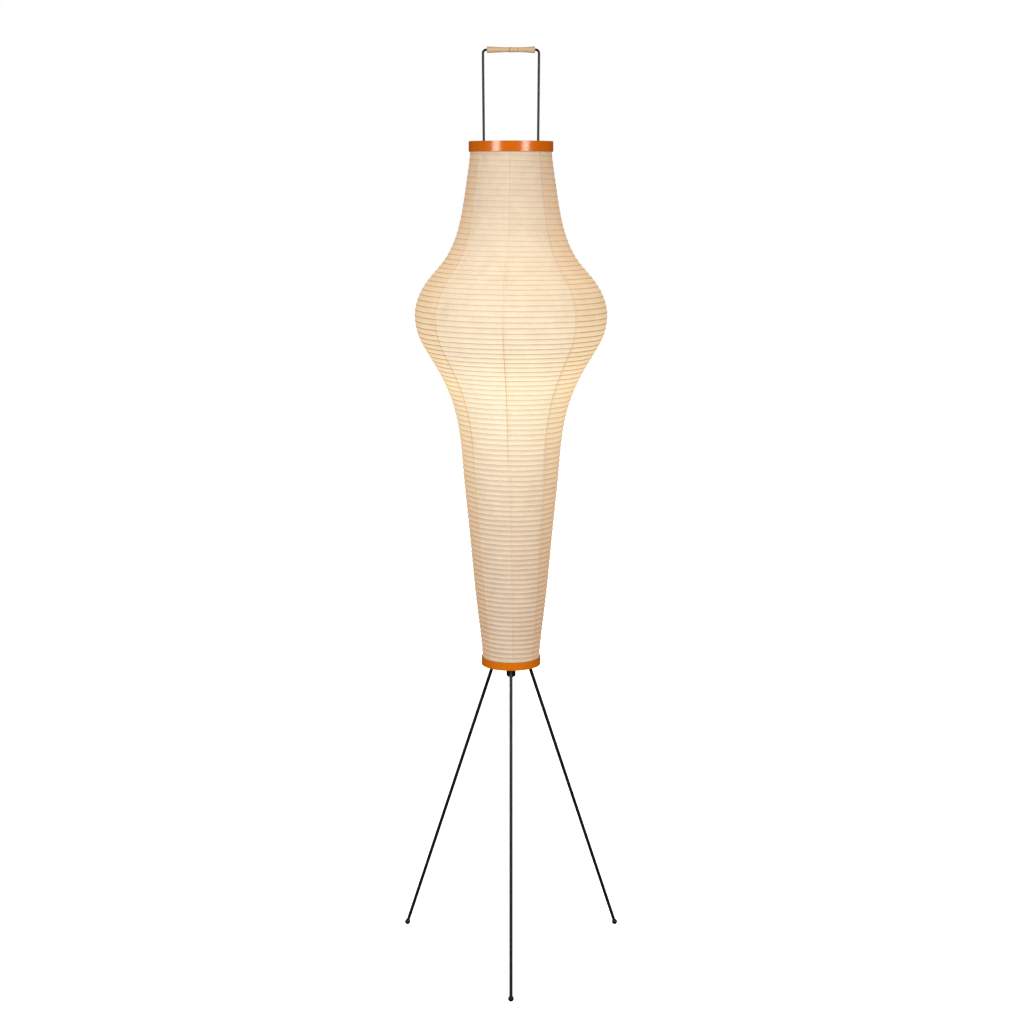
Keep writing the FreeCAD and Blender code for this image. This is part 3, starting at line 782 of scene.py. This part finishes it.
# %% [markdown]
# Paper has a thickness, and a Solidify modifier gives it one on the inner side. When the top ring is
# drawn down the frame, the paper folds up between its ribs like an accordion. Here the share of its
# height that a strip would keep, with the ring all the way down, is worked out.

# %% All the gores
FOLD = next(joint for joint in frame["joints"] if joint["name"] == "shade_fold")
FOLD_TRAVEL = FOLD["range_m"][1]
BOTTOM_RING_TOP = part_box("bottom_ring")[1].z
TOP_RING_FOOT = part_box("top_ring")[0].z
FOLD_KEEP = 1 - FOLD_TRAVEL / (TOP_RING_FOOT - BOTTOM_RING_TOP)


def folds(piece):
    """The piece stands on the base, with a mesh of its own."""
    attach(piece, "base")
    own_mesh(piece)


for number in range(GORES):
    strip = paper_gore(number, WASHI)
    wall = strip.modifiers.new("paper", "SOLIDIFY")
    wall.thickness = PAPER_THICK
    wall.offset = -1.0
    folds(strip)
    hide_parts("paper_gore_" + str(number + 1))
    print(strip.name, len(strip.data.polygons), "faces")

# %% [markdown]
# ## The rib itself
# A split bamboo strip, about a millimetre each way, is wound on the mould from the top ring to the
# bottom one. A curve with a small section run along it makes such a strip easily: its points come
# from the outline, one pitch per turn, and it is turned into a mesh that stands on the base with the
# paper.

# %% Wind the rib
RIB_STEPS = 40
RIB_HALF_HEIGHT = 0.6 * MM
RIB_HALF_DEPTH = 0.5 * MM


def rib_section():
    """The strip's own small section: a rectangle."""
    curve = bpy.data.curves.new("rib_section", "CURVE")
    spline = curve.splines.new("POLY")
    spline.points.add(3)
    corners = [(-1, -1), (1, -1), (1, 1), (-1, 1)]
    for point, (across, up) in zip(spline.points, corners):
        point.co = (across * RIB_HALF_DEPTH, up * RIB_HALF_HEIGHT, 0.0, 1.0)
    spline.use_cyclic_u = True
    section = bpy.data.objects.new("rib_section", curve)
    bpy.context.scene.collection.objects.link(section)
    return section


def wind_rib(finish):
    curve = bpy.data.curves.new("rib_spiral", "CURVE")
    curve.dimensions = "3D"
    curve.twist_mode = "Z_UP"
    spline = curve.splines.new("POLY")
    turns = LAST_TURN + 1
    spline.points.add(turns * RIB_STEPS)
    for index, point in enumerate(spline.points):
        turn = -0.5 + index / RIB_STEPS
        radius, height, out_radius, out_height = outline(turn)
        angle = math.radians(FRONT - 360 * turn)
        radius -= RIB_HALF_DEPTH
        point.co = (radius * math.cos(angle), radius * math.sin(angle), height, 1.0)
    section = rib_section()
    curve.bevel_mode = "OBJECT"
    curve.bevel_object = section
    curve.use_fill_caps = True
    wound = bpy.data.objects.new("rib_wound", curve)
    bpy.context.scene.collection.objects.link(wound)
    mesh = bpy.data.meshes.new_from_object(wound.evaluated_get(bpy.context.evaluated_depsgraph_get()))
    mesh.name = "rib_spiral"
    mesh.materials.clear()
    mesh.materials.append(finish)
    rib = bpy.data.objects.new("rib_spiral", mesh)
    bpy.context.scene.collection.objects.link(rib)
    bpy.data.objects.remove(wound)
    bpy.data.objects.remove(section)
    return rib


rib = wind_rib(rib_bamboo())
folds(rib)
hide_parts("rib_hoops")
rib_heights = [vertex.co.z for vertex in rib.data.vertices]
print("rib faces:", len(rib.data.polygons), "from", min(rib_heights), "to", max(rib_heights))

# %% [markdown]
# ## The bamboo grip
# The grip is a short length of whole bamboo, bored through so that it turns on the wire. Its ends
# flare, its waist is thin, and two nodes each leave a groove with a low swelling beside it. The outline
# is kept as a few points in millimetres, and the grooves are cut in as dips of the radius.

# %% The grip's outline
GRIP_LOW, GRIP_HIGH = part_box("handle_grip")
GRIP_AXIS_HEIGHT = (GRIP_LOW.z + GRIP_HIGH.z) / 2
GRIP_BORE = 2.1 * MM
GRIP_STEPS = 96
GRIP_SIDES = 40
GRIP_OUTLINE = [
    (-39.4, 5.3),
    (-27.0, 4.7),
    (-13.0, 4.1),
    (-6.5, 3.9),
    (-0.5, 4.25),
    (6.0, 3.95),
    (18.0, 4.05),
    (30.0, 4.7),
    (39.4, 5.5),
]
GROOVE_DEPTH = 0.28 * MM
SWELLING = 0.10 * MM                # the low swelling beside a groove
SWELLING_PLACE = 1.1 * MM
SKIN_RIPPLE = 0.03 * MM
RIPPLES = 900                       # radians of ripple to the metre
GRIP_EDGE = 0.35 * MM


def smooth_radius(outline_points, along):
    """The radius at one place of a turned outline, smooth through its points."""
    last = len(outline_points) - 1
    index = 0
    while index < last - 1 and outline_points[index + 1][0] < along:
        index += 1
    before, after = max(index - 1, 0), min(index + 2, last)
    (x0, r0), (x1, r1) = outline_points[index], outline_points[index + 1]
    leave = (r1 - outline_points[before][1]) / (x1 - outline_points[before][0])
    arrive = (outline_points[after][1] - r0) / (outline_points[after][0] - x0)
    span = x1 - x0
    s = (along - x0) / span
    bend = 3 * (r1 - r0) - 2 * leave * span - arrive * span
    return r0 + s * leave * span + s * s * bend + s ** 3 * (2 * (r0 - r1) + (leave + arrive) * span)


def grip_radius(along):
    """The grip's radius with its node grooves and the faint ripple of the scraped skin."""
    radius = smooth_radius(GRIP_OUTLINE, along / MM) * MM
    for place in GRIP_NODES:
        radius -= GROOVE_DEPTH * math.exp(-((along - place) / (0.5 * NODE_GROOVE)) ** 2)
        radius += SWELLING * math.exp(-((along - place - SWELLING_PLACE) / NODE_GROOVE) ** 2)
    return radius + SKIN_RIPPLE * math.sin(along * RIPPLES)


print("grip from", GRIP_LOW.x, "to", GRIP_HIGH.x, "m, radius in the middle", round(grip_radius(0.0), 5))

# %% [markdown]
# A turned thing is made as on a lathe: the profile is a closed wire of points, and a full spin about the
# bar carries it round. The spin's last ring merges with its first, so no seam is left.

# %% Turn the grip
def spin_about_x(bm, profile, height, sides):
    """Spin a wire of (along, radius) points about the line along X at this height."""
    points = [bm.verts.new((along, 0.0, height + radius)) for along, radius in profile]
    wire = [bm.edges.new(pair) for pair in zip(points, points[1:] + points[:1])]
    bmesh.ops.spin(
        bm, geom=points + wire, cent=(0, 0, height), axis=(1, 0, 0), angle=math.tau,
        steps=sides, use_merge=True, use_normal_flip=False, use_duplicate=False,
    )
    bmesh.ops.remove_doubles(bm, verts=bm.verts, dist=1e-6)
    bmesh.ops.recalc_face_normals(bm, faces=bm.faces)


def as_piece(bm, name, finish, smooth=True):
    """Turn the bmesh into an object of the scene."""
    for face in bm.faces:
        face.smooth = smooth
    mesh = bpy.data.meshes.new(name)
    bm.to_mesh(mesh)
    bm.free()
    mesh.materials.append(finish)
    piece = bpy.data.objects.new(name, mesh)
    bpy.context.scene.collection.objects.link(piece)
    return piece


def turn_grip(finish):
    low, high = GRIP_LOW.x, GRIP_HIGH.x
    places = [low + (high - low) * index / GRIP_STEPS for index in range(GRIP_STEPS + 1)]
    skin = [(along, grip_radius(along)) for along in places]
    skin[0] = (low, grip_radius(low) - GRIP_EDGE)
    skin[-1] = (high, grip_radius(high) - GRIP_EDGE)
    skin.insert(1, (low + GRIP_EDGE, grip_radius(low)))
    skin.insert(-1, (high - GRIP_EDGE, grip_radius(high)))
    bm = bmesh.new()
    spin_about_x(bm, skin + [(high, GRIP_BORE), (low, GRIP_BORE)], GRIP_AXIS_HEIGHT, GRIP_SIDES)
    return as_piece(bm, "bamboo_grip", finish)


grip = turn_grip(grip_bamboo())
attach(grip, "grip")
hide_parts("handle_grip")
print("grip faces:", len(grip.data.polygons))

# %% [markdown]
# ## The studio
# The photograph has a pure white ground, and two tall soft boxes, left and right of the camera, whose
# pale bands show on the top ring. They stand higher than the lower shade, so down there each pleat is
# bright on its upper slope and dark on its lower one. A third box lights the back, for the other views,
# but glossy things don't mirror it.

# %% Soft boxes
BOX_DISTANCE = 2.5
BOX_AZIMUTH = 40.0
BOX_WIDTH = 0.84
BOX_HEIGHT = 1.4
BOX_MIDDLE = 1.70
LEFT_RADIANCE = 10.3
RIGHT_RADIANCE = 9.6
BACK_RADIANCE = 4.5
BOX_COLOUR = (0.82, 0.97, 1.0)


def soft_box(name, azimuth, radiance, width):
    """A glowing panel that faces the lamp; azimuth 0 is the camera's side."""
    light = bpy.data.lights.new(name, "AREA")
    light.shape = "RECTANGLE"
    light.size, light.size_y = width, BOX_HEIGHT
    light.energy = radiance * math.pi * width * BOX_HEIGHT
    light.color = BOX_COLOUR
    box = bpy.data.objects.new(name, light)
    angle = math.radians(azimuth)
    box.location = (BOX_DISTANCE * math.sin(angle), -BOX_DISTANCE * math.cos(angle), BOX_MIDDLE)
    box.rotation_euler = (math.radians(90), 0, angle)
    bpy.context.scene.collection.objects.link(box)
    return box


soft_box("soft_box_left", -BOX_AZIMUTH, LEFT_RADIANCE, BOX_WIDTH)
soft_box("soft_box_right", BOX_AZIMUTH, RIGHT_RADIANCE, BOX_WIDTH)
back_box = soft_box("soft_box_back", 180.0, BACK_RADIANCE, BOX_WIDTH * 2)
back_box.visible_glossy = False     # it would draw white rims along the thin black rods
print("soft boxes at", BOX_AZIMUTH, "degrees either side, middles at", BOX_MIDDLE, "m")

# %% [markdown]
# ## Floor and room
# The floor is plain and pale and lights nothing, as a floor that is well burnt out in a photograph.
# The room is white to the camera. As a light it is dim at the horizon, brighter and warm overhead, and
# glossy things pick up only a small part of it, which keeps the black rods black.

# %% Floor and room
FLOOR_SIZE = 30.0
SKY_BELOW = (0.10, 0.08, 0.06)
SKY_EDGE = (0.33, 0.26, 0.19)
SKY_TOP = (0.90, 0.76, 0.60)
SKY_MIRRORED = (0.14, 0.14, 0.14)   # how much of the room glossy things pick up


def pale_floor():
    """Plain, pale and burnt out to white."""
    finish = Finish("pale_floor", Roughness=0.8, Specular_IOR_Level=0.0, Emission_Strength=1.0)
    finish.feed("Base Color", finish.mix(finish.cloud(3, 2.0), (0.84, 0.84, 0.84), (0.9, 0.9, 0.9)))
    finish.feed("Emission Color", finish.mix(finish.cloud(3, 2.0), (0.96, 0.96, 0.96), (1.0, 1.0, 1.0)))
    bm = bmesh.new()
    bmesh.ops.create_grid(bm, x_segments=1, y_segments=1, size=FLOOR_SIZE / 2)
    floor = as_piece(bm, "pale_floor", finish.material, False)
    floor.visible_diffuse = False
    floor.visible_glossy = False
    return floor


pale_floor()


def white_room():
    """White to the camera; as light, dim at the horizon and bright overhead."""
    world = bpy.data.worlds.new("white_room")
    sky = Tree(world)
    direction = sky.node("ShaderNodeTexCoord").out("Generated")
    up = sky.node("ShaderNodeSeparateXYZ", {}, {0: direction}).out("Z").at_least(0.0)
    above = sky.mix(up * up, SKY_EDGE, SKY_TOP)
    light = sky.mix(up.step(0.0, 0.02), SKY_BELOW, above)
    path = sky.node("ShaderNodeLightPath")
    light = sky.mix(path.out("Is Glossy Ray"), light, sky.mix(1.0, light, SKY_MIRRORED, "MULTIPLY"))
    shown = sky.mix(path.out("Is Camera Ray"), light, (1.0, 1.0, 1.0))
    room = sky.node("ShaderNodeBackground", {}, {"Color": shown})
    sky.node("ShaderNodeOutputWorld", {}, {"Surface": room.out()})
    return world


bpy.context.scene.world = white_room()
bpy.context.scene.view_settings.view_transform = "Standard"
print("studio ready")

# %% [markdown]
